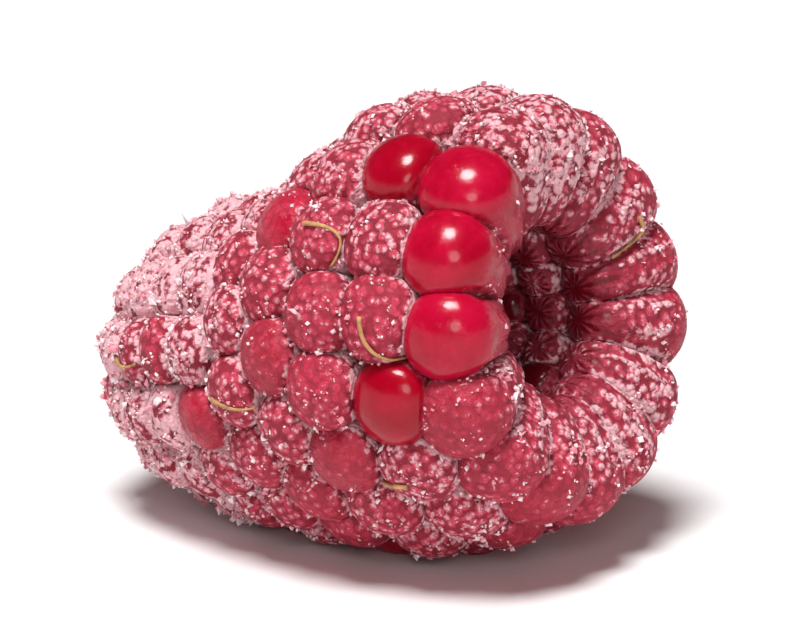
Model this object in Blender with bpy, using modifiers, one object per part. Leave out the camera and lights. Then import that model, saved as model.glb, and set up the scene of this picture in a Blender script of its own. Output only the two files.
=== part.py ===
"""A ripe raspberry, picked, lying on its flank with its hollow open at one end.

Units are metres and +Z is up.  The berry is modelled along its own axis first: the opening faces
+X, the crest of the rim lies in the plane x = 0 and the tip points to -X.  It is then tipped so
that its conical flank lies on the ground, its lowest drupelets are pressed flat there, and the
origin is put at the middle of the underside of its box.
"""
import math
import random

import bmesh
import bpy
from mathutils import Matrix, Vector

LENGTH = 0.0228              # from the crest of the rim to the tip
DIAMETER = 0.0186            # over the drupelets at the widest place
WIDEST = 0.0080              # from the crest of the rim back to the widest place
CREST_RADIUS = 0.0067        # of the ring where the rim stands furthest forward
TAPER = 1.15                 # how early the flank starts to draw in behind the widest place
ROUNDING = 2.35              # how blunt the tip is
DROOP = 0.0012               # how far the tip bends down from the berry's straight axis
SADDLE = 0.22                # depth of the dip in the upper flank, of the radius
SADDLE_BACK = 0.0140         # from the crest of the rim back to the middle of the dip
SADDLE_REACH = 0.0045        # how far the dip spreads along the berry

LIP = 0.0030                 # from the crest of the rim back to where the hollow begins
HOLLOW_MOUTH = 0.0034        # radius of the hollow there
HOLLOW_END = 0.0020          # radius of the hollow where its round end starts
HOLLOW_DEPTH = 0.0165        # from the crest of the rim to the bottom of the hollow

PITCH_AT_RIM = 0.00335       # from one drupelet to the next beside the rim
PITCH_AT_TIP = 0.00210       # the same at the tip
SHRINK = 1.20                # how late the pitch starts to shrink on the way to the tip
FIRST_ROW = 0.82             # of the pitch, from the crest to the tops of the first row
ROW_SPACING = 0.89           # of the pitch, because the rows stagger into each other
DOME = 0.56                  # radius of a drupelet's dome, of the local pitch
UNEVEN = 0.09                # how far a drupelet strays from its regular place, of the pitch
SEED = 11                    # of the uneven growth
GROOVE = 0.00090             # depth of the flesh below the tops of the domes

TILT = math.radians(12.0)    # the opening looks up by this much when the flank lies flat
PRESSED = 0.00040            # how far the lowest drupelets are flattened by the weight

SKIN_STEP = 0.00026          # grain of the merged skin
FACES = 7200                 # triangles kept on the finished skin
TURN_STEPS = 48              # facets round the flesh

CRIMSON = (0.46, 0.012, 0.05, 1.0)


def outer_radius(back):
    """Radius over the drupelets at a distance back from the crest of the rim."""
    if back < WIDEST:
        bulge = math.sqrt(1 - ((WIDEST - back) / WIDEST) ** 2)
        return CREST_RADIUS + (DIAMETER / 2 - CREST_RADIUS) * bulge
    share = min((back - WIDEST) / (LENGTH - WIDEST), 1.0)
    return DIAMETER / 2 * (1 - share ** TAPER) ** (1 / ROUNDING)


def hollow_outline():
    """The hollow's outline from the lip to its round end, as (back, radius)."""
    straight = HOLLOW_DEPTH - HOLLOW_END - LIP
    slope = [(LIP + straight * step / 8, HOLLOW_MOUTH + (HOLLOW_END - HOLLOW_MOUTH) * step / 8)
             for step in range(8)]
    end = [(HOLLOW_DEPTH - HOLLOW_END * (1 - math.sin(turn)), HOLLOW_END * math.cos(turn))
           for turn in (math.pi / 2 * step / 8 for step in range(9))]
    return slope + end


def outline(steps=400):
    """The outer outline from the crest of the rim to the tip, as (back, radius)."""
    backs = [LENGTH * (1 - math.cos(math.pi * step / steps)) / 2 for step in range(steps + 1)]
    return [(back, outer_radius(back)) for back in backs]


def measured(points):
    """A line's points, each with the length of the line up to it."""
    runs = [0.0]
    for (back, radius), (back_next, radius_next) in zip(points, points[1:]):
        runs.append(runs[-1] + math.hypot(back_next - back, radius_next - radius))
    return list(zip(points, runs))


def along(line, run):
    """The point at a length along a measured line, and the line's direction there."""
    for (place, start), (place_next, end) in zip(line, line[1:]):
        if end >= run:
            break
    here, step = Vector(place), Vector(place_next) - Vector(place)
    return here + step * min((run - start) / (end - start), 1.0), step.normalized()


def turned(back, radius, angle):
    """A point of the half section turned round the berry's axis, on the berry as it grew."""
    return grown(Vector((-back, radius * math.cos(angle), radius * math.sin(angle))))


def drupelets():
    """Inner end, top and dome radius of each drupelet, in staggered rows from rim to tip."""
    growth = random.Random(SEED)
    outside, inside = measured(outline()), measured(hollow_outline())
    whole, depth = outside[-1][1], inside[-1][1]
    first = FIRST_ROW * PITCH_AT_RIM
    run, row, placed = first, 0, []
    while run < whole:
        pitch = PITCH_AT_RIM + (PITCH_AT_TIP - PITCH_AT_RIM) * (run / whole) ** SHRINK
        dome = DOME * pitch
        ring = along(outside, run)[0].y - dome * along(outside, run)[1].x
        count = round(2 * math.pi * (ring + dome / 2) / pitch)
        if ring < dome / 2:
            run, count = whole, 1
        for turn in range(count):
            angle = 2 * math.pi * (turn + 0.5 * (row % 2)) / count - math.pi / 2
            angle += growth.uniform(-UNEVEN, UNEVEN) * 2 * math.pi / count
            stray = growth.uniform(-UNEVEN, UNEVEN) * pitch if count > 1 else 0.0
            swell = 1 + growth.uniform(-UNEVEN, UNEVEN) / 2
            top = along(outside, run + stray)[0]
            end = along(inside, depth * (run - first) / (whole - first))[0]
            placed.append((turned(*end, angle), turned(*top, angle), dome * swell))
        run += ROW_SPACING * pitch
        row += 1
    return placed


def grown(place):
    """A place on the straight round berry, moved for its dipped upper flank and drooping tip."""
    dip = math.exp(-((place.x + SADDLE_BACK) / SADDLE_REACH) ** 2)
    upward = max(place.z, 0.0) ** 2 / max(place.yz.length_squared, 1e-12)
    drawn_in = 1 - SADDLE * dip * upward
    sag = DROOP * (place.x / LENGTH) ** 2
    return Vector((place.x, place.y * drawn_in, place.z * drawn_in - sag))


def flesh_profile():
    """Half section of the flesh: up the hollow and funnel, over the crest, back along the flank."""
    quarter = [math.pi / 2 * step / 8 for step in range(8)]
    widening = CREST_RADIUS - GROOVE - HOLLOW_MOUTH
    funnel = [(LIP + (GROOVE - LIP) * step / 8, HOLLOW_MOUTH + widening * step / 8)
              for step in range(1, 8)]
    crest = [(back, outer_radius(back - GROOVE) - GROOVE)
             for back in (GROOVE + WIDEST * (1 - math.cos(turn)) for turn in quarter)]
    flank = [(back, outer_radius(back) - GROOVE)
             for back in (WIDEST + (LENGTH - 2 * GROOVE - WIDEST) * step / 14
                          for step in range(1, 15))]
    return hollow_outline()[::-1] + funnel + crest + flank + [(LENGTH - GROOVE, 0.0)]


def add_flesh(body):
    """Turn the half section round the berry's axis and add it to the body's mesh."""
    profile = bmesh.new()
    corners = [profile.verts.new((-back, 0.0, radius)) for back, radius in flesh_profile()]
    edges = [profile.edges.new(pair) for pair in zip(corners, corners[1:])]
    bmesh.ops.spin(profile, geom=corners + edges, cent=(0, 0, 0), axis=(1, 0, 0),
                   angle=2 * math.pi, steps=TURN_STEPS, use_merge=True)
    bmesh.ops.remove_doubles(profile, verts=profile.verts, dist=1e-6)
    bmesh.ops.recalc_face_normals(profile, faces=profile.faces)
    mesh = bpy.data.meshes.new("flesh")
    profile.to_mesh(mesh)
    profile.free()
    for corner in mesh.vertices:
        corner.co = grown(corner.co)
    body.from_mesh(mesh)
    bpy.data.meshes.remove(mesh)


def add_drupelet(body, end, top, dome):
    """One egg: a round dome at the top, drawn out to its inner end."""
    axis = top - end
    reach = axis.length - dome
    egg = bmesh.new()
    bmesh.ops.create_icosphere(egg, subdivisions=3, radius=dome)
    for corner in egg.verts:
        if corner.co.z < 0:
            corner.co.z *= max(reach / dome, 1.0)
    egg.transform(Matrix.Translation(end + axis.normalized() * reach)
                  @ axis.to_track_quat("Z", "Y").to_matrix().to_4x4())
    mesh = bpy.data.meshes.new("drupelet")
    egg.to_mesh(mesh)
    egg.free()
    body.from_mesh(mesh)
    bpy.data.meshes.remove(mesh)


def merged_body():
    """Flesh and drupelets as one closed skin, thinned to the number of faces kept."""
    body = bmesh.new()
    add_flesh(body)
    for end, top, dome in drupelets():
        add_drupelet(body, end, top, dome)
    mesh = bpy.data.meshes.new("raspberry")
    body.to_mesh(mesh)
    body.free()
    berry = bpy.data.objects.new("raspberry", mesh)
    bpy.context.scene.collection.objects.link(berry)
    skin = berry.modifiers.new("merge", "REMESH")
    skin.mode = "VOXEL"
    skin.voxel_size = SKIN_STEP
    skin.adaptivity = 0.0
    count = len(evaluated(berry).polygons) * 2
    thin = berry.modifiers.new("thin", "DECIMATE")
    thin.ratio = FACES / count
    finished = evaluated(berry)
    bpy.data.objects.remove(berry)
    return finished


def evaluated(thing):
    """A new mesh of an object with its modifiers applied."""
    graph = bpy.context.evaluated_depsgraph_get()
    graph.update()
    return bpy.data.meshes.new_from_object(thing.evaluated_get(graph))


def lay_down(mesh):
    """Tip the berry onto its flank, press its underside flat and centre it over the origin."""
    mesh.transform(Matrix.Rotation(-TILT, 4, "Y"))
    lowest = min(corner.co.z for corner in mesh.vertices)
    for corner in mesh.vertices:
        corner.co.z = max(corner.co.z - lowest - PRESSED, 0.0)
    for axis in (0, 1):
        low = min(corner.co[axis] for corner in mesh.vertices)
        high = max(corner.co[axis] for corner in mesh.vertices)
        for corner in mesh.vertices:
            corner.co[axis] -= (low + high) / 2


def flesh_material():
    """Moist crimson skin."""
    skin = bpy.data.materials.new("raspberry_skin")
    skin.use_nodes = True
    shader = skin.node_tree.nodes["Principled BSDF"]
    shader.inputs["Base Color"].default_value = CRIMSON
    shader.inputs["Roughness"].default_value = 0.35
    shader.inputs["Metallic"].default_value = 0.0
    return skin


def main():
    for thing in list(bpy.data.objects):
        bpy.data.objects.remove(thing)
    fruit = bpy.data.collections.new("raspberry")
    bpy.context.scene.collection.children.link(fruit)
    mesh = merged_body()
    lay_down(mesh)
    mesh.shade_smooth()
    mesh.materials.clear()
    mesh.materials.append(flesh_material())
    fruit.objects.link(bpy.data.objects.new("raspberry", mesh))


main()
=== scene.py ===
"""The looks of a picked raspberry with hoar frost on it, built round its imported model.

The berry lies on its flank with its hollow open at +X.  Its skin is made of pressed drupelets,
each a rounded dome outside and a narrow end in the hollow.  Frost crystals and a few dried
styles lie on it.  Units are metres and +Z is up.
"""
import math
import random

import bpy
import numpy as np
from mathutils import Matrix, Vector
from mathutils.bvhtree import BVHTree


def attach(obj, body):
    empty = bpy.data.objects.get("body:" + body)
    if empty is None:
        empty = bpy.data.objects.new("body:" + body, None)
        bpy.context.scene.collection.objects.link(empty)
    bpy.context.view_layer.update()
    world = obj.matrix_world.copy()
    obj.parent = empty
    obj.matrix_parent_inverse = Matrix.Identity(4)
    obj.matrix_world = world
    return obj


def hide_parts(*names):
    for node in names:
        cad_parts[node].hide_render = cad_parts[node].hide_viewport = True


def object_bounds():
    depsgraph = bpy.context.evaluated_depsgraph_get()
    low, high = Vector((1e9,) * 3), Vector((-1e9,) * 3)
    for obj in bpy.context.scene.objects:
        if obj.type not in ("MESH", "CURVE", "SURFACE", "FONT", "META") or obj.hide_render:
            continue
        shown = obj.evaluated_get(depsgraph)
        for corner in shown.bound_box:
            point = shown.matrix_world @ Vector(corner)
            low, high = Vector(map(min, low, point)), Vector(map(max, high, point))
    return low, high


bl_info = {
    "name": "Frosted raspberry",
    "version": (1, 0, 0),
    "blender": (4, 5, 0),
    "location": "3D View > Sidebar > Raspberry",
    "description": "Builds a raspberry of pressed drupelets with hoar frost and dried styles",
    "category": "Mesh",
}

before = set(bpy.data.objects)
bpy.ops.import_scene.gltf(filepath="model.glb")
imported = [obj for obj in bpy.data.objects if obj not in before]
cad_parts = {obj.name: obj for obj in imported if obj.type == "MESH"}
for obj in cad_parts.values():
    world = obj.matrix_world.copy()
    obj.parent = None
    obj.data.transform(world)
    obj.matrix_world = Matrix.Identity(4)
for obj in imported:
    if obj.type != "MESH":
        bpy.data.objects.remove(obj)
CAD_BOX = [Vector(corner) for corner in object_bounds()]
NODE = "raspberry"
BODY = "root"


# ---------------------------------------------------------------- settings

def in_metres(name, description, default, **limits):
    """A setting that is a length."""
    return bpy.props.FloatProperty(
        name=name, description=description, default=default, unit="LENGTH", **limits)


def in_degrees(name, description, default):
    """A setting that is an angle."""
    return bpy.props.FloatProperty(
        name=name, description=description, default=math.radians(default), subtype="ANGLE")


def tint(name, description, default):
    """A setting that is a colour."""
    return bpy.props.FloatVectorProperty(
        name=name, description=description, default=default, subtype="COLOR", size=3,
        min=0, max=1)


class BerrySettings(bpy.types.PropertyGroup):
    """Sizes of the berry and of its drupelets."""
    length: in_metres(
        "Length", "From the crest of the rim to the tip", 0.0228, min=0.01, max=0.05)
    diameter: in_metres(
        "Diameter", "Over the drupelets at the widest place", 0.0186, min=0.01, max=0.05)
    widest: in_metres(
        "Widest place", "From the crest of the rim back to the widest place", 0.0080,
        min=0.001, max=0.02)
    crest_radius: in_metres(
        "Crest radius", "Ring where the rim stands furthest forward", 0.0067,
        min=0.001, max=0.02)
    taper: bpy.props.FloatProperty(
        name="Taper", description="How early the flank draws in", default=1.15, min=1.0, max=4.0)
    rounding: bpy.props.FloatProperty(
        name="Rounding", description="How blunt the tip is", default=2.35, min=1.0, max=4.0)
    droop: in_metres("Droop", "How far the tip bends down", 0.0012)
    saddle: bpy.props.FloatProperty(
        name="Saddle", description="Depth of the dip in the upper flank, of the radius",
        default=0.22, min=0.0, max=0.5)
    saddle_back: in_metres(
        "Saddle place", "From the crest of the rim back to the dip", 0.0140)
    saddle_reach: in_metres(
        "Saddle reach", "How far the dip spreads along the berry", 0.0045)
    lip: in_metres("Lip", "From the crest of the rim back to where the hollow begins", 0.0030)
    hollow_mouth: in_metres("Hollow mouth", "Radius of the hollow at its lip", 0.0034)
    hollow_end: in_metres(
        "Hollow end", "Radius of the hollow where its round end starts", 0.0020)
    hollow_depth: in_metres(
        "Hollow depth", "From the crest of the rim to the hollow's bottom", 0.0165)
    pitch_at_rim: in_metres(
        "Pitch at the rim", "From one drupelet to the next beside the rim", 0.00335)
    pitch_at_tip: in_metres(
        "Pitch at the tip", "From one drupelet to the next at the tip", 0.00210)
    tilt: in_degrees("Tilt", "How far the opening looks up", 12)
    pressed: in_metres("Pressed", "How far the lowest drupelets are flattened", 0.0004)
    seed: bpy.props.IntProperty(name="Seed", description="Of the uneven growth", default=11)


class ColourSettings(bpy.types.PropertyGroup):
    """Colours of the berry's finishes."""
    juice: tint("Juice", "Deep red of a clean drupelet", (0.30, 0.0005, 0.011))
    flesh: tint("Flesh", "Lighter red where the skin is thin", (0.44, 0.003, 0.030))
    bloom: tint("Bloom", "Pink of thin frost", (0.56, 0.065, 0.115))
    rime: tint("Rime", "Pale pink of thick frost", (0.78, 0.46, 0.50))
    # painted shade: a dark brown red laid where the hollow is shaded, and in the gaps between
    # frost clumps
    painted_hollow_shade: tint("Hollow", "Brown red of the hollow's wall", (0.13, 0.004, 0.009))
    ice: tint("Ice", "Bright ice of a clear crystal", (0.90, 0.74, 0.76))
    stained_ice: tint("Stained ice", "Crystal tinted by the juice", (0.72, 0.26, 0.32))
    style: tint("Style", "Straw colour of the dried styles", (0.62, 0.34, 0.13))


class StudioSettings(bpy.types.PropertyGroup):
    """Camera."""
    azimuth: in_degrees("Azimuth", "Of the camera, from behind -Y towards +X", 33)
    elevation: in_degrees("Elevation", "Of the camera above the floor", 15)
    distance: in_metres("Distance", "From the camera to the middle of the berry", 0.23)
    lens: bpy.props.FloatProperty(
        name="Lens", description="Focal length in millimetres", default=262.0)


# ---------------------------------------------------------------- shader maths

class Wire:
    """A shader socket that takes part in Python sums."""

    def __init__(self, graph, socket):
        self.graph, self.socket = graph, socket

    def _math(self, operation, *values):
        return self.graph.node("ShaderNodeMath", {"operation": operation}, values)

    def __add__(self, other):
        return self._math("ADD", self, other)

    def __radd__(self, other):
        return self._math("ADD", other, self)

    def __sub__(self, other):
        return self._math("SUBTRACT", self, other)

    def __rsub__(self, other):
        return self._math("SUBTRACT", other, self)

    def __mul__(self, other):
        return self._math("MULTIPLY", self, other)

    def __rmul__(self, other):
        return self._math("MULTIPLY", other, self)


class Graph:
    """The node tree of a material or of the world."""

    def __init__(self, owner, shader="Principled BSDF"):
        owner.use_nodes = True
        self.owner, self.tree = owner, owner.node_tree
        self.shader = self.tree.nodes[shader]

    def plug(self, socket, value):
        """Sets a socket to a number, colour or vector, or links a wire to it."""
        if isinstance(value, Wire):
            self.tree.links.new(value.socket, socket)
        elif isinstance(value, (tuple, list)) and len(value) == 3 and socket.type == "RGBA":
            socket.default_value = (*value, 1.0)
        else:
            socket.default_value = value

    def node(self, kind, settings, inputs=(), output=0):
        """Adds a node: its settings first, then its sockets by place or by name."""
        node = self.tree.nodes.new(kind)
        for key, value in settings.items():
            setattr(node, key, value)
        pairs = inputs.items() if isinstance(inputs, dict) else enumerate(inputs)
        for key, value in pairs:
            self.plug(node.inputs[key], value)
        return Wire(self, node.outputs[output])

    def attribute(self, name):
        """A value painted on the mesh."""
        return self.node("ShaderNodeAttribute", {"attribute_name": name}, output="Fac")

    def place(self):
        """Position on the object, in metres."""
        return self.node("ShaderNodeTexCoord", {}, output="Object")

    def noise(self, scale, detail, roughness=0.5):
        """Soft clouds, with their number per metre."""
        return self.node("ShaderNodeTexNoise", {}, {
            "Vector": self.place(), "Scale": scale, "Detail": detail, "Roughness": roughness,
        }, "Fac")

    def grains(self, scale):
        """Distance from the middle of the nearest grain, with their number per metre."""
        return self.node("ShaderNodeTexVoronoi", {"feature": "F1"}, {
            "Vector": self.place(), "Scale": scale}, "Distance")

    def between(self, value, low, high, start=0.0, end=1.0):
        """Smooth step of a value from low to high."""
        return self.node("ShaderNodeMapRange", {"interpolation_type": "SMOOTHSTEP"}, {
            "Value": value, "From Min": low, "From Max": high, "To Min": start, "To Max": end})

    def blend(self, share, one, other):
        """Mixes two colours.  The numbers are the mix node's sockets for colours."""
        return self.node("ShaderNodeMix", {"data_type": "RGBA"}, {0: share, 6: one, 7: other}, 2)

    def bump(self, height, distance, strength=1.0):
        """Normal of a surface that is raised by up to a distance."""
        return self.node("ShaderNodeBump", {}, {
            "Strength": strength, "Distance": distance, "Height": height})

    def finish(self, **inputs):
        """Plugs the shader's sockets, named with _ for a space."""
        for key, value in inputs.items():
            self.plug(self.shader.inputs[key.replace("_", " ")], value)
        return self.owner


def fill_ramp(ramp, stops):
    """Sets a colour ramp's stops."""
    while len(ramp.elements) < len(stops):
        ramp.elements.new(1.0)
    for element, (position, colour) in zip(ramp.elements, stops):
        element.position, element.color = position, colour


# ---------------------------------------------------------------- the berry's layout

UNEVEN = 0.09        # how far a drupelet strays from its regular place, of the pitch
DOME = 0.56          # radius of a drupelet's dome, of the pitch
FIRST_ROW = 0.82     # of the pitch, from the crest to the tops of the first row
ROW_SPACING = 0.89   # of the pitch, because the rows stagger into each other
SHRINK = 1.20        # how late the pitch starts to shrink on the way to the tip


def outer_radius(berry, back):
    """Radius over the drupelets at a distance back from the crest of the rim."""
    if back < berry.widest:
        bulge = math.sqrt(1 - ((berry.widest - back) / berry.widest) ** 2)
        return berry.crest_radius + (berry.diameter / 2 - berry.crest_radius) * bulge
    share = min((back - berry.widest) / (berry.length - berry.widest), 1.0)
    return berry.diameter / 2 * (1 - share ** berry.taper) ** (1 / berry.rounding)


def outline(berry, steps=400):
    """The outer outline from the crest of the rim to the tip, as (back, radius)."""
    backs = [berry.length * (1 - math.cos(math.pi * step / steps)) / 2
             for step in range(steps + 1)]
    return [(back, outer_radius(berry, back)) for back in backs]


def hollow_outline(berry):
    """The hollow's outline from the lip to its round end, as (back, radius)."""
    straight = berry.hollow_depth - berry.hollow_end - berry.lip
    narrowing = berry.hollow_end - berry.hollow_mouth
    slope = [(berry.lip + straight * step / 8, berry.hollow_mouth + narrowing * step / 8)
             for step in range(8)]
    end = [(berry.hollow_depth - berry.hollow_end * (1 - math.sin(turn)),
            berry.hollow_end * math.cos(turn))
           for turn in (math.pi / 2 * step / 8 for step in range(9))]
    return slope + end


def measured(points):
    """A line's points, each with the length of the line up to it."""
    runs = [0.0]
    for (back, radius), (back_next, radius_next) in zip(points, points[1:]):
        runs.append(runs[-1] + math.hypot(back_next - back, radius_next - radius))
    return list(zip(points, runs))


def along(line, run):
    """The point at a length along a measured line, and the line's direction there."""
    for (place, start), (place_next, end) in zip(line, line[1:]):
        if end >= run:
            break
    here, step = Vector(place), Vector(place_next) - Vector(place)
    return here + step * min((run - start) / (end - start), 1.0), step.normalized()


def turned(berry, back, radius, angle):
    """A point of the half section turned round the axis, for the dip above and the droop."""
    dip = math.exp(-((back - berry.saddle_back) / berry.saddle_reach) ** 2)
    radius *= 1 - berry.saddle * dip * max(math.sin(angle), 0.0) ** 2
    sag = berry.droop * (back / berry.length) ** 2
    return Vector((-back, radius * math.cos(angle), radius * math.sin(angle) - sag))


def drupelets(berry):
    """Inner end, top, dome radius, row and angle of each drupelet, from the rim to the tip."""
    growth = random.Random(berry.seed)
    outside, inside = measured(outline(berry)), measured(hollow_outline(berry))
    whole, depth = outside[-1][1], inside[-1][1]
    first = FIRST_ROW * berry.pitch_at_rim
    run, row, placed = first, 0, []
    while run < whole:
        shrink = (run / whole) ** SHRINK
        pitch = berry.pitch_at_rim + (berry.pitch_at_tip - berry.pitch_at_rim) * shrink
        dome = DOME * pitch
        ring = along(outside, run)[0].y - dome * along(outside, run)[1].x
        count = round(2 * math.pi * (ring + dome / 2) / pitch)
        if ring < dome / 2:
            run, count = whole, 1
        for turn in range(count):
            angle = 2 * math.pi * (turn + 0.5 * (row % 2)) / count - math.pi / 2
            angle += growth.uniform(-UNEVEN, UNEVEN) * 2 * math.pi / count
            stray = growth.uniform(-UNEVEN, UNEVEN) * pitch if count > 1 else 0.0
            swell = 1 + growth.uniform(-UNEVEN, UNEVEN) / 2
            top = along(outside, run + stray)[0]
            end = along(inside, depth * (run - first) / (whole - first))[0]
            placed.append((turned(berry, *end, angle), turned(berry, *top, angle),
                           dome * swell, row, angle))
        run += ROW_SPACING * pitch
        row += 1
    return placed


def picked(places, row, rise):
    """Number of the drupelet in a row nearest to an angle, in degrees above the near side."""
    aim = math.pi - math.radians(rise)
    in_row = [number for number, place in enumerate(places) if place[3] == row]
    return min(in_row, key=lambda number: abs(math.remainder(places[number][4] - aim, math.tau)))


# ---------------------------------------------------------------- pressed drupelets

RINGS = 25           # rings of points from a drupelet's top to its inner end
COLUMNS = 30         # points in a ring
SPREAD = 1.13        # half width of a free drupelet, of its dome's radius
CLOSE = 0.502        # share of the way to a neighbour that each may fill
SOFTNESS = 9.0       # a larger number gives sharper edges between pressed faces
NEIGHBOURS = 14      # nearest drupelets that may press on one
LEAST_REACH = 0.8    # least depth of a drupelet below its dome, of the dome's radius
INNER_TAPER = 0.7    # a smaller number gives a fuller inner end
FACING = 0.02        # cosine above which a neighbour lies in a point's way
TINY = 1e-9          # keeps a radius of nothing from being divided by
FOLDS = 12           # shallow folds round a drupelet's free sides at the rim
FOLD_DEPTH = 0.085   # of the radius
FOLDED = (0.30, 0.55)        # shares of the depth between which the folds set in
FREE_SIDE = (0.80, 0.95)     # of the free radius, between which a side counts as free


def smooth(values, low, high):
    """Smooth step of an array from low to high."""
    share = np.clip((values - low) / (high - low), 0.0, 1.0)
    return share * share * (3 - 2 * share)


def pressed_rings(berry, places):
    """Points of every drupelet, as (drupelet, ring, column), pressed against its neighbours."""
    ends = np.array([place[0] for place in places])
    tops = np.array([place[1] for place in places])
    domes = np.array([place[2] for place in places])
    axes = tops - ends
    lengths = np.linalg.norm(axes, axis=1)
    axes /= lengths[:, None]
    reach = np.maximum(lengths - domes, domes * LEAST_REACH)
    centres = tops - axes * domes[:, None]
    ends = centres - axes * reach[:, None]
    sideways = np.cross(axes, (1.0, 0.0, 0.0))
    sideways[np.linalg.norm(sideways, axis=1) < 0.2] = (0.0, 1.0, 0.0)
    sideways /= np.linalg.norm(sideways, axis=1)[:, None]
    upward = np.cross(axes, sideways)
    turn = np.pi * np.arange(RINGS) / (RINGS - 1)
    height = np.where(turn[None] < np.pi / 2, domes[:, None] * np.cos(turn)[None],
                      reach[:, None] * np.cos(turn)[None])
    fullness = np.where(turn < np.pi / 2, 1.0, INNER_TAPER)
    own = domes[:, None] * SPREAD * np.sin(turn)[None] ** fullness
    on_axis = centres[:, None] + axes[:, None] * height[..., None]
    level = centres[:, None] + axes[:, None] * np.minimum(height, 0.0)[..., None]
    angle = 2 * np.pi * np.arange(COLUMNS) / COLUMNS
    aim = (sideways[:, None] * np.cos(angle)[None, :, None]
           + upward[:, None] * np.sin(angle)[None, :, None])
    near = np.argsort(np.linalg.norm(centres[:, None] - centres[None], axis=2), axis=1)
    near = near[:, 1:NEIGHBOURS + 1]
    total = np.maximum(own, TINY)[..., None] ** -SOFTNESS * np.ones(COLUMNS)
    for slot in range(NEIGHBOURS):
        other = near[:, slot]
        foot = np.einsum("nkc,nc->nk", level - ends[other][:, None], axes[other])
        foot = np.clip(foot, 0.0, reach[other][:, None])
        step = ends[other][:, None] + axes[other][:, None] * foot[..., None] - level
        span = np.linalg.norm(step, axis=2)
        step /= span[..., None]
        share = 2 * CLOSE * domes / (domes + domes[other])
        room = np.einsum("nkc,nkc->nk", level - on_axis, step) + span * share[:, None]
        toward = np.einsum("nmc,nkc->nkm", aim, step)
        limit = np.maximum(room, 1e-6)[..., None] / np.maximum(toward, 1e-4)
        total += np.where(toward > FACING, limit ** -SOFTNESS, 0.0)
    radius = total ** (-1 / SOFTNESS)
    radius[:, 0] = radius[:, -1] = 0.0
    squeeze = radius / np.maximum(own, TINY)[..., None]
    squeeze[:, 0], squeeze[:, -1] = squeeze[:, 1], squeeze[:, -2]
    phase = np.random.default_rng(berry.seed).uniform(0, 2 * np.pi, len(places))
    fold = 0.5 + 0.5 * np.cos(FOLDS * angle[None] + phase[:, None])
    strength = smooth(turn / np.pi, *FOLDED)[None, :, None] * smooth(squeeze, *FREE_SIDE)
    radius *= 1 - FOLD_DEPTH * strength * fold[:, None]
    points = on_axis[:, :, None] + aim[:, None] * radius[..., None]
    return points, turn, squeeze, strength * (1 - fold[:, None])


def closed(rings):
    """A drupelet's values with its first and last rings made single points."""
    return [rings[0][0], *rings[1:-1].reshape(-1, *rings.shape[2:]), rings[-1][0]]


def ring_faces():
    """Faces of one drupelet whose first and last rings are single points."""
    faces = []
    last = 1 + (RINGS - 2) * COLUMNS
    for column in range(COLUMNS):
        after = (column + 1) % COLUMNS
        faces.append((0, 1 + column, 1 + after))
        for ring in range(RINGS - 3):
            low = 1 + ring * COLUMNS
            high = low + COLUMNS
            faces.append((low + column, high + column, high + after, low + after))
        low = last - COLUMNS
        faces.append((low + column, last, low + after))
    return faces


def laid(berry, points):
    """Points of the upright berry, tipped onto its flank, pressed and set on the origin."""
    turn = np.array(Matrix.Rotation(-berry.tilt, 3, "Y"))
    points = points @ turn.T
    lowest = points[..., 2].min()
    points[..., 2] = np.maximum(points[..., 2] - lowest - berry.pressed, 0.0)
    for axis in (0, 1):
        middle = (points[..., axis].min() + points[..., axis].max()) / 2
        points[..., axis] += (CAD_BOX[0][axis] + CAD_BOX[1][axis]) / 2 - middle
    return points


def new_piece(name, vertices, faces, material):
    """A smooth mesh piece that rides with the berry."""
    mesh = bpy.data.meshes.new(name)
    mesh.from_pydata([tuple(vertex) for vertex in vertices], [], faces)
    mesh.update()
    mesh.shade_smooth()
    mesh.materials.append(material)
    piece = bpy.data.objects.new(name, mesh)
    bpy.context.scene.collection.objects.link(piece)
    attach(piece, BODY)
    return piece


def paint(piece, name, values):
    """Stores one value for each vertex."""
    layer = piece.data.attributes.new(name, "FLOAT", "POINT")
    layer.data.foreach_set("value", np.asarray(values, dtype=np.float32))


CLEAN_DRUPELETS = (  # row from the rim, and degrees above the middle of the near side
    (0, 10), (0, 35), (0, 60), (1, 55), (1, -15), (2, 190), (3, 140))
CLEAN_CHANCE = 0.10  # of any other drupelet being partly clean
PARTLY_CLEAN = 0.75  # how clear of frost such a drupelet is
FROST_AT_RIM = 0.53  # thickness of the frost beside the rim, from 0 to 1
MORE_AT_TIP = 0.41
TIPWARD = (0.62, 0.20)       # shares of the box, from its tip end, between which it thickens
MORE_ON_TOP = 0.18
TOPMOST = (0.0135, 0.0175)   # heights between which the frost on top sets in
LESS_INSIDE = 0.35
INWARD = (0.62, 0.92)        # shares of the depth between which the frost thins inwards
MORE_ON_FOLDS = 0.50
LESS_WHERE_CLEAN = 0.45
FROST_VARIES = 0.26  # from one drupelet to the next


def clean_shares(places, chance):
    """How clear of frost each drupelet is, from 0 to 1."""
    rubbed = {picked(places, row, rise) for row, rise in CLEAN_DRUPELETS}
    shares = [PARTLY_CLEAN if chance.random() < CLEAN_CHANCE else 0.0 for _ in places]
    return [1.0 if number in rubbed else share for number, share in enumerate(shares)]


def frost_on(points, painted):
    """Thickness of the frost at each point, from 0 to 1, from the values painted there."""
    depth, tone, ridge, clean = (
        np.array(painted[name]) for name in ("depth", "tone", "ridge", "clean"))
    across = (points[:, 0] - CAD_BOX[0][0]) / (CAD_BOX[1][0] - CAD_BOX[0][0])
    frost = FROST_AT_RIM + MORE_AT_TIP * smooth(across, *TIPWARD)
    frost += (tone - 0.5) * FROST_VARIES - LESS_WHERE_CLEAN * clean
    frost += MORE_ON_TOP * smooth(points[:, 2], *TOPMOST) * (1 - clean)
    frost -= LESS_INSIDE * smooth(depth, *INWARD)
    frost += MORE_ON_FOLDS * ridge
    return np.clip(frost, 0.0, 1.0)


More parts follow.
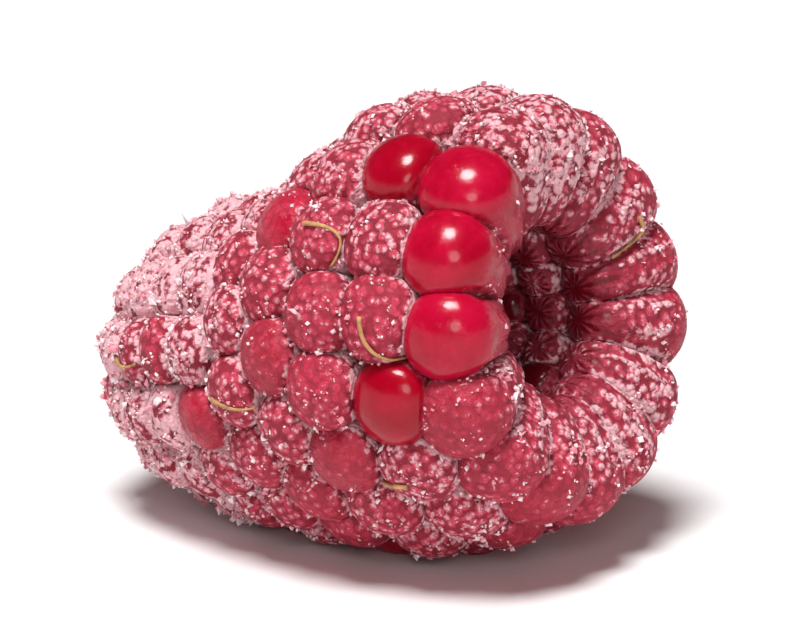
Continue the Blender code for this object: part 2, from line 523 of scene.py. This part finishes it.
class RASPBERRY_OT_drupelets(bpy.types.Operator):
    """Builds the drupelets, pressed together round the hollow"""
    bl_idname = "raspberry.drupelets"
    bl_label = "Drupelets"

    def execute(self, context):
        berry = context.scene.raspberry
        places = drupelets(berry)
        points, turn, squeeze, ridge = pressed_rings(berry, places)
        points = laid(berry, points)
        ripeness = random.Random(berry.seed + 1)
        clean = clean_shares(places, random.Random(berry.seed + 2))
        vertices, faces = [], []
        painted = {"depth": [], "squeeze": [], "tone": [], "ridge": [], "clean": []}
        for number, rings in enumerate(points):
            start = len(vertices)
            vertices.extend(closed(rings))
            faces.extend(tuple(start + corner for corner in face) for face in ring_faces())
            painted["depth"].extend(closed(np.repeat(turn / np.pi, COLUMNS).reshape(RINGS, -1)))
            painted["squeeze"].extend(closed(squeeze[number]))
            painted["ridge"].extend(closed(ridge[number]))
            size = len(vertices) - start
            painted["tone"].extend([ripeness.random()] * size)
            painted["clean"].extend([clean[number]] * size)
        piece = new_piece("drupelets", vertices, faces, skin_material())
        painted["frost"] = frost_on(np.array(vertices), painted)
        for name, values in painted.items():
            paint(piece, name, values)
        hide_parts(NODE)
        return {"FINISHED"}


CLOUD = 700.0            # soft patches of the skin's red, per metre
MOTTLE = 2300.0          # smaller ones
CLUMP = 3000.0           # clumps of frost
GRAIN = 7500.0           # grains of frost
SPECK = 6500.0           # specks that break up the clumps
SKIN_RELIEF = 0.00016    # height of the frost on the skin


def skin_material():
    """Glossy crimson skin, matt pink and granular where frost lies on it; painted shade darkens
    the hollow and the gaps between frost clumps, and painted sheen lightens the drupelets'
    borders.
    """
    graph = Graph(bpy.data.materials.new("drupelet skin"))
    colours = bpy.context.scene.raspberry_colours
    depth, squeeze = graph.attribute("depth"), graph.attribute("squeeze")
    frost, tone = graph.attribute("frost"), graph.attribute("tone")
    cloud = graph.noise(CLOUD, 4.0)
    mottle = graph.noise(MOTTLE, 4.0, 0.65)
    clump = graph.grains(CLUMP)
    grain = graph.grains(GRAIN)
    speck = graph.noise(SPECK, 3.0, 0.6)

    ripe = graph.between(cloud + tone * 0.6 + mottle * 0.7, 0.75, 1.45)
    clean = graph.blend(ripe, tuple(colours.juice), tuple(colours.flesh))
    # painted shade: the inner ends of the drupelets darken towards the dark brown red deep in
    # the hollow
    hollow_shade_share = graph.between(depth, 0.55, 0.85)
    clean = graph.blend(hollow_shade_share, clean, tuple(colours.painted_hollow_shade))

    # lighter pink borders of the drupelets: partly frost lying along the borders, partly painted
    # sheen where light grazes them
    border_frost_and_sheen = graph.between(squeeze, 0.995, 0.86)
    thick = frost + (mottle - 0.5) * 0.8 + border_frost_and_sheen * (0.30 + cloud * 0.45)
    film = graph.between(thick, 0.15, 0.75)
    cover = thick + (speck - 0.5) * 1.1 - clump * 0.75
    rime = graph.between(cover, 0.30, 0.62)
    # dark red in the gaps between frost clumps: partly the skin showing through, partly painted
    # shade in the hollow's shade colour
    clump_gaps_and_shade = graph.between(clump + (speck - 0.5) * 0.5, 0.42, 0.62) * film
    frosted_and_shaded = graph.blend(film * 0.9, clean, tuple(colours.bloom))
    frosted_and_shaded = graph.blend(clump_gaps_and_shade * 0.75, frosted_and_shaded, tuple(colours.painted_hollow_shade))
    base = graph.blend(rime * 0.92, frosted_and_shaded, tuple(colours.rime))

    height = (1 - clump) * film * 0.9 + (1 - grain) * rime * 0.35 + cloud * 0.2 + mottle * 0.12
    normal = graph.bump(height, SKIN_RELIEF)
    shader = graph.shader.inputs
    shader["Subsurface Weight"].default_value = 0.12
    shader["Subsurface Radius"].default_value = (1.0, 0.08, 0.06)
    shader["Subsurface Scale"].default_value = 0.0009
    shader["IOR"].default_value = 1.36
    shader["Specular IOR Level"].default_value = 0.35
    shader["Coat Roughness"].default_value = 0.05
    return graph.finish(
        Base_Color=base, Normal=normal,
        Roughness=graph.between(film, 0.0, 0.8, 0.20, 0.66),
        Coat_Weight=graph.between(film, 0.0, 0.6, 0.20, 0.0))


# ---------------------------------------------------------------- hoar frost

CLUSTERS = 7600          # tufts of crystals over the whole berry
IN_CLUSTER = 3           # crystals in a tuft
TUFT = 0.00012           # radius of a tuft
CRYSTAL = 0.000052       # middle size of a crystal
SIZES_VARY = 0.42        # how much the sizes differ, as a logarithm
ON_THIN_FROST = 0.65     # size of a crystal where there is least frost, of its own
ON_THICK_FROST = 0.60    # added to that where the frost is thickest
STRETCH = (0.55, 1.6)    # least and most that a crystal is drawn out
CROOKED = 0.12           # how far a crystal's corners stray, of its size
STANDS_OUT = 0.45        # height of a crystal's middle over the skin, of its size
LEAST_FROST = 0.12       # thickness below which no crystal grows
OUTER_SIDE = 0.62        # share of the depth below which none grows, towards the hollow
CREASE = 0.62            # of the free radius: none grows where a side is pressed in more
LOWEST_ROOT = 0.0002     # height below which none grows
OVER_FLOOR = 0.00002     # least height of a crystal's corners
HAZE = 9000.0            # cloudy places in the ice, per metre
FACETS = ((0, 2, 4), (2, 1, 4), (1, 3, 4), (3, 0, 4), (2, 0, 5), (1, 2, 5), (3, 1, 5), (0, 3, 5))
TIPS = np.array([(1, 0, 0), (-1, 0, 0), (0, 1, 0), (0, -1, 0), (0, 0, 1), (0, 0, -1)], float)


def triangles_of(piece, *names):
    """Corners, areas and normals of a piece's triangles, and its painted values on them."""
    mesh = piece.data
    mesh.calc_loop_triangles()
    corners = np.empty(len(mesh.loop_triangles) * 3, dtype=np.int32)
    mesh.loop_triangles.foreach_get("vertices", corners)
    corners = corners.reshape(-1, 3)
    places = np.empty(len(mesh.vertices) * 3)
    mesh.vertices.foreach_get("co", places)
    places = places.reshape(-1, 3)[corners]
    cross = np.cross(places[:, 1] - places[:, 0], places[:, 2] - places[:, 0])
    area = np.linalg.norm(cross, axis=1)
    values = {}
    for name in names:
        layer = np.empty(len(mesh.vertices))
        mesh.attributes[name].data.foreach_get("value", layer)
        values[name] = layer[corners].mean(axis=1)
    return places, area, cross / np.maximum(area, 1e-20)[:, None], values


class RASPBERRY_OT_hoar_frost(bpy.types.Operator):
    """Grows tufts of ice crystals where the frost is thick"""
    bl_idname = "raspberry.hoar_frost"
    bl_label = "Hoar frost"

    def execute(self, context):
        chance = np.random.default_rng(context.scene.raspberry.seed)
        places, area, normals, values = triangles_of(
            bpy.data.objects["drupelets"], "frost", "depth", "squeeze")
        weight = area * np.clip(values["frost"] - LEAST_FROST, 0, 1) ** 1.5
        weight *= (values["depth"] < OUTER_SIDE) & (values["squeeze"] > CREASE)
        weight *= places[:, :, 2].min(axis=1) > LOWEST_ROOT
        chosen = chance.choice(len(area), CLUSTERS, p=weight / weight.sum())
        share = chance.dirichlet((1, 1, 1), CLUSTERS)
        middle = np.einsum("nk,nkc->nc", share, places[chosen])
        middle = np.repeat(middle, IN_CLUSTER, axis=0)
        normal = np.repeat(normals[chosen], IN_CLUSTER, axis=0)
        thick = np.repeat(values["frost"][chosen], IN_CLUSTER)
        count = len(middle)
        offset = chance.normal(0, TUFT, (count, 3))
        offset -= normal * np.einsum("nc,nc->n", offset, normal)[:, None]
        size = chance.lognormal(math.log(CRYSTAL), SIZES_VARY, count)
        size *= ON_THIN_FROST + ON_THICK_FROST * thick
        stretch = chance.uniform(*STRETCH, (count, 1, 3))
        shape = TIPS[None] * stretch + chance.normal(0, CROOKED, (count, len(TIPS), 3))
        spin, _ = np.linalg.qr(chance.normal(0, 1, (count, 3, 3)))
        shape = np.einsum("nkc,ncd->nkd", shape, spin) * size[:, None, None]
        shape += (middle + offset + normal * size[:, None] * STANDS_OUT)[:, None]
        shape[..., 2] = np.maximum(shape[..., 2], OVER_FLOOR)
        first = len(TIPS) * np.arange(count)[:, None, None]
        faces = (np.array(FACETS)[None] + first).reshape(-1, 3)
        piece = new_piece("frost_crystals", shape.reshape(-1, 3), faces.tolist(),
                          crystal_material())
        piece.data.shade_flat()
        paint(piece, "tint", np.repeat(chance.random(count), len(TIPS)))
        return {"FINISHED"}


def crystal_material():
    """Bright ice, some of it tinted by the juice under it."""
    graph = Graph(bpy.data.materials.new("frost crystal"))
    colours = bpy.context.scene.raspberry_colours
    haze = graph.noise(HAZE, 2.0)
    stain = graph.between(graph.attribute("tint") + (haze - 0.5) * 0.5, 0.15, 0.95)
    colour = graph.blend(stain, tuple(colours.ice), tuple(colours.stained_ice))
    graph.shader.inputs["Subsurface Weight"].default_value = 0.35
    graph.shader.inputs["Subsurface Radius"].default_value = (1.0, 0.6, 0.6)
    graph.shader.inputs["Subsurface Scale"].default_value = 0.0001
    graph.shader.inputs["IOR"].default_value = 1.31
    return graph.finish(Base_Color=colour, Roughness=graph.between(haze, 0.3, 0.7, 0.12, 0.4))


# ---------------------------------------------------------------- dried styles

STYLE_RADIUS = 0.00008
STYLE_STEP = 0.00022     # from one point of a thread to the next
STYLE_SIDES = 7
CURL = 0.16              # most that a thread turns steadily at each step, in radians
WANDER = 0.08            # most that it strays at a step
RIDE = 1.5               # height of a thread over the skin while it is laid, of its radius
CLEAR = 0.8              # least height once it is smoothed
SMOOTHINGS = 6
ROOT = 1.25              # radius at the root, of the thread's own
NARROWING = 0.80         # taken off that along the thread
KNOB = 0.54              # added again at the far end
KNOB_FROM = 0.9          # share of the length where the knob starts
NEAR_STYLES = (      # row and rise of the drupelet it grows from, heading, and length
    ((2, 40), (1.0, 0.0, 0.2), 0.0036),
    ((1, 10), (-0.2, -0.2, -1.0), 0.0040),
    ((1, -30), (-1.0, -0.1, -0.1), 0.0034),
    ((4, -10), (1.0, -0.2, -0.2), 0.0026),
    ((7, 20), (0.8, -0.2, -0.5), 0.0022),
)
FAR_STYLES = 9           # on the side away from the camera, at places drawn by chance
STAIN = 1800.0           # dark places on a thread, per metre
FIBRE = 14000.0          # its fibres
FIBRE_RELIEF = 0.00001


def style_path(tree, start, heading, length, chance):
    """Points of a thread that wanders over the drupelets, bridging the gaps between them."""
    place, heading, path = Vector(start), Vector(heading).normalized(), []
    bend = chance.uniform(-CURL, CURL)
    for _ in range(int(length / STYLE_STEP)):
        hit, normal, _, _ = tree.find_nearest(place)
        place = hit + normal * STYLE_RADIUS * RIDE
        path.append(place.copy())
        heading = (heading - normal * heading.dot(normal)).normalized()
        heading = Matrix.Rotation(bend + chance.uniform(-WANDER, WANDER), 3, normal) @ heading
        place = place + heading * STYLE_STEP
    for _ in range(SMOOTHINGS):
        eased = [(a + b * 2 + c) / 4 for a, b, c in zip(path, path[1:], path[2:])]
        path = [path[0], *eased, path[-1]]
    lifted = []
    for point in path:
        hit, normal, _, _ = tree.find_nearest(point)
        sunk = STYLE_RADIUS * CLEAR - (point - hit).dot(normal)
        lifted.append(point + normal * max(sunk, 0.0))
    return lifted


def tube(path, vertices, faces):
    """A thread along a path, thickest at its root and with a small knob at its far end."""
    side = Vector((0, 0, 1)).cross(path[1] - path[0]).normalized()
    first = len(vertices)
    for number, point in enumerate(path):
        forward = (path[min(number + 1, len(path) - 1)] - path[max(number - 1, 0)]).normalized()
        side = (side - forward * side.dot(forward)).normalized()
        share = number / (len(path) - 1)
        knob = KNOB * max(share - KNOB_FROM, 0) / (1 - KNOB_FROM)
        radius = STYLE_RADIUS * (ROOT - NARROWING * share + knob)
        for turn in range(STYLE_SIDES):
            angle = 2 * math.pi * turn / STYLE_SIDES
            spoke = side * math.cos(angle) + forward.cross(side) * math.sin(angle)
            vertices.append(point + spoke * radius)
    rings = len(path)
    for ring in range(rings - 1):
        for turn in range(STYLE_SIDES):
            low = first + ring * STYLE_SIDES
            after = (turn + 1) % STYLE_SIDES
            faces.append((low + turn, low + after, low + STYLE_SIDES + after,
                          low + STYLE_SIDES + turn))
    faces.append(tuple(first + turn for turn in reversed(range(STYLE_SIDES))))
    last = first + (rings - 1) * STYLE_SIDES
    faces.append(tuple(last + turn for turn in range(STYLE_SIDES)))


class RASPBERRY_OT_styles(bpy.types.Operator):
    """Lays the dried styles, the threads left from the flower, over the drupelets"""
    bl_idname = "raspberry.styles"
    bl_label = "Dried styles"

    def execute(self, context):
        chance = random.Random(context.scene.raspberry.seed + 5)
        drupes = bpy.data.objects["drupelets"]
        tree = BVHTree.FromObject(drupes, context.evaluated_depsgraph_get())
        vertices, faces = [], []
        berry = context.scene.raspberry
        places = drupelets(berry)
        tops = laid(berry, pressed_rings(berry, places)[0])[:, 0, 0]
        for drupelet, heading, length in NEAR_STYLES:
            start = tops[picked(places, *drupelet)]
            tube(style_path(tree, start, heading, length, chance), vertices, faces)
        middle = (CAD_BOX[0] + CAD_BOX[1]) / 2
        reach = (CAD_BOX[1] - CAD_BOX[0]) / 2
        for _ in range(FAR_STYLES):
            turn, level = chance.uniform(0.3, math.pi - 0.3), chance.uniform(-0.4, 0.8)
            start = middle + Vector((reach.x * math.cos(turn) * 0.9,
                                     reach.y * math.sin(turn), reach.z * level))
            heading = Vector([chance.uniform(-1, 1) for _ in range(3)])
            tube(style_path(tree, start, heading, chance.uniform(0.002, 0.0042), chance),
                 vertices, faces)
        new_piece("dried_styles", vertices, faces, style_material())
        return {"FINISHED"}


def style_material():
    """Dry straw, darker in places."""
    graph = Graph(bpy.data.materials.new("dried style"))
    colour = tuple(bpy.context.scene.raspberry_colours.style)
    dark = tuple(part * 0.45 for part in colour)
    stain = graph.noise(STAIN, 3.0)
    fibre = graph.noise(FIBRE, 2.0)
    return graph.finish(Base_Color=graph.blend(graph.between(stain, 0.35, 0.7), colour, dark),
                        Roughness=graph.between(fibre, 0.3, 0.7, 0.45, 0.7),
                        Normal=graph.bump(fibre, FIBRE_RELIEF, 0.6))


# ---------------------------------------------------------------- studio

SUN_STRENGTH = 4.3
SUN_SPREAD = math.radians(22)
SUN_FROM = (0.02, -0.09, 0.30)
FRONT_FROM = (0.20, -0.27, 0.17)     # the soft light beside the camera
FRONT_SIZE = 0.14
FRONT_POWER = 0.30
AIM = (0.0011, 0.0007)               # where the camera looks, over the ground
AIM_HEIGHT = 0.47                    # of the berry's height
HORIZON = (0.10, 0.22)               # between these heights the room turns from white to dim
WHITE_ROOM = (1.0, 0.99, 0.99)
DIM_ROOM = (0.055, 0.032, 0.030)
FLOOR_SIZE = 6.0
FLOOR_COLOUR = (0.86, 0.85, 0.85)


class RASPBERRY_OT_studio(bpy.types.Operator):
    """Sets the pale floor, the soft lights and the camera"""
    bl_idname = "raspberry.studio"
    bl_label = "Studio"

    def execute(self, context):
        studio = context.scene.raspberry_studio
        aim = Vector((*AIM, CAD_BOX[1][2] * AIM_HEIGHT))
        add_floor()
        add_camera(context.scene, studio, aim)
        add_lights(aim)
        add_world(context.scene)
        context.scene.view_settings.view_transform = "Standard"
        return {"FINISHED"}


def add_floor():
    """A pale floor under and behind the berry."""
    bpy.ops.mesh.primitive_plane_add(size=FLOOR_SIZE, location=(0, 0, 0))
    floor = bpy.context.object
    floor.name = "floor"
    graph = Graph(bpy.data.materials.new("pale floor"))
    floor.data.materials.append(graph.finish(Base_Color=FLOOR_COLOUR, Roughness=0.6))


def aimed(name, data, place, back):
    """A new camera or light at a place, looking away from the direction back."""
    thing = bpy.data.objects.new(name, data)
    bpy.context.scene.collection.objects.link(thing)
    thing.location = place
    thing.rotation_euler = back.to_track_quat("Z", "Y").to_euler()
    return thing


def add_camera(scene, studio, aim):
    """The camera, at its distance from the place that it looks at."""
    data = bpy.data.cameras.new("camera")
    data.lens = studio.lens
    data.clip_start = 0.01
    level = math.cos(studio.elevation)
    back = Vector((math.sin(studio.azimuth) * level, -math.cos(studio.azimuth) * level,
                   math.sin(studio.elevation)))
    scene.camera = aimed("camera", data, aim + back * studio.distance, back)


def add_lights(aim):
    """A wide soft light from above, and a weaker one from the front."""
    sun = bpy.data.lights.new("overhead light", "SUN")
    sun.energy = SUN_STRENGTH
    sun.angle = SUN_SPREAD
    aimed("overhead light", sun, (0, 0, 0), Vector(SUN_FROM))
    front = bpy.data.lights.new("front light", "AREA")
    front.shape = "DISK"
    front.size = FRONT_SIZE
    front.energy = FRONT_POWER
    aimed("front light", front, FRONT_FROM, Vector(FRONT_FROM) - aim)


def add_world(scene):
    """A room that is white at the horizon and dim overhead, so that shadows stay dark."""
    scene.world = bpy.data.worlds.new("studio")
    graph = Graph(scene.world, "Background")
    way = graph.node("ShaderNodeTexCoord", {}, output="Generated")
    level = graph.node("ShaderNodeSeparateXYZ", {}, (way,), "Z")
    room = graph.node("ShaderNodeValToRGB", {}, (level,))
    fill_ramp(room.socket.node.color_ramp, ((HORIZON[0], (*WHITE_ROOM, 1.0)),
                                            (HORIZON[1], (*DIM_ROOM, 1.0))))
    graph.finish(Color=room)


class RASPBERRY_PT_build(bpy.types.Panel):
    """Lists the raspberry's builders"""
    bl_idname = "RASPBERRY_PT_build"
    bl_label = "Raspberry"
    bl_space_type = "VIEW_3D"
    bl_region_type = "UI"
    bl_category = "Raspberry"

    def draw(self, context):
        for operator in OPERATORS:
            self.layout.operator(operator.bl_idname)


OPERATORS = (RASPBERRY_OT_studio, RASPBERRY_OT_drupelets, RASPBERRY_OT_hoar_frost,
             RASPBERRY_OT_styles)
CLASSES = (BerrySettings, ColourSettings, StudioSettings, *OPERATORS, RASPBERRY_PT_build)


def register():
    for each in CLASSES:
        bpy.utils.register_class(each)
    scene = bpy.types.Scene
    scene.raspberry = bpy.props.PointerProperty(type=BerrySettings)
    scene.raspberry_colours = bpy.props.PointerProperty(type=ColourSettings)
    scene.raspberry_studio = bpy.props.PointerProperty(type=StudioSettings)


def unregister():
    del bpy.types.Scene.raspberry_studio
    del bpy.types.Scene.raspberry_colours
    del bpy.types.Scene.raspberry
    for each in reversed(CLASSES):
        bpy.utils.unregister_class(each)


def main():
    register()
    bpy.ops.raspberry.studio()
    bpy.ops.raspberry.drupelets()
    bpy.ops.raspberry.hoar_frost()
    bpy.ops.raspberry.styles()


if __name__ == "__main__":
    main()
